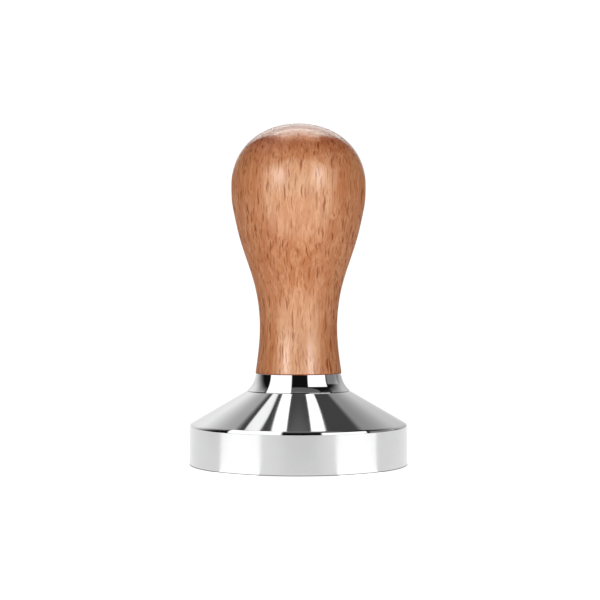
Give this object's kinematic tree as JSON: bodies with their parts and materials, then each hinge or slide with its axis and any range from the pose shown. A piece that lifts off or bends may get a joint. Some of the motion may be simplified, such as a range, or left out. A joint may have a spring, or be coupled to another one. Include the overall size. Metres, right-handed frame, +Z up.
{
  "type": "espresso tamper",
  "caption": "Espresso tamper: heavy stainless base with a conical shoulder, a polished neck collar and a pear-shaped turned beech handle that unscrews from the base.",
  "frame": {"origin": "centre of the flat tamping face, under the base", "axes": "+Z up along the turning axis, from the tamping face to the top of the knob"},
  "size_m": [0.058, 0.058, 0.0908],
  "materials": {
    "base_steel": "polished cone, satin-turned rim",
    "stud_steel": "bright stainless, as rolled",
    "collar_steel": "mirror polished stainless",
    "nitrile": "matt black",
    "beech": "clear semi-gloss lacquer over steamed beech",
    "insert_brass": "turned"
  },
  "bodies": {
    "base_body": {"base": "base_steel", "stud": "stud_steel"},
    "collar_body": {"neck_collar": "collar_steel", "collar_o_ring": "nitrile"},
    "handle_body": {"handle": "beech", "threaded_insert": "insert_brass"}
  },
  "joints": [
    {"name": "handle_rise", "type": "slide", "parent": "base_body", "child": "collar_body", "axis": [0, 0, 1], "range_m": [0, 0.01]},
    {"name": "handle_turn", "type": "hinge", "parent": "collar_body", "child": "handle_body", "pos_m": [0, 0, 0.0272], "axis": [0, 0, 1], "range_deg": [0, 2880]}
  ],
  "couplings": [
    {"joint": "handle_rise", "follows": "handle_turn", "m_per_rad": 0.00019894}
  ]
}
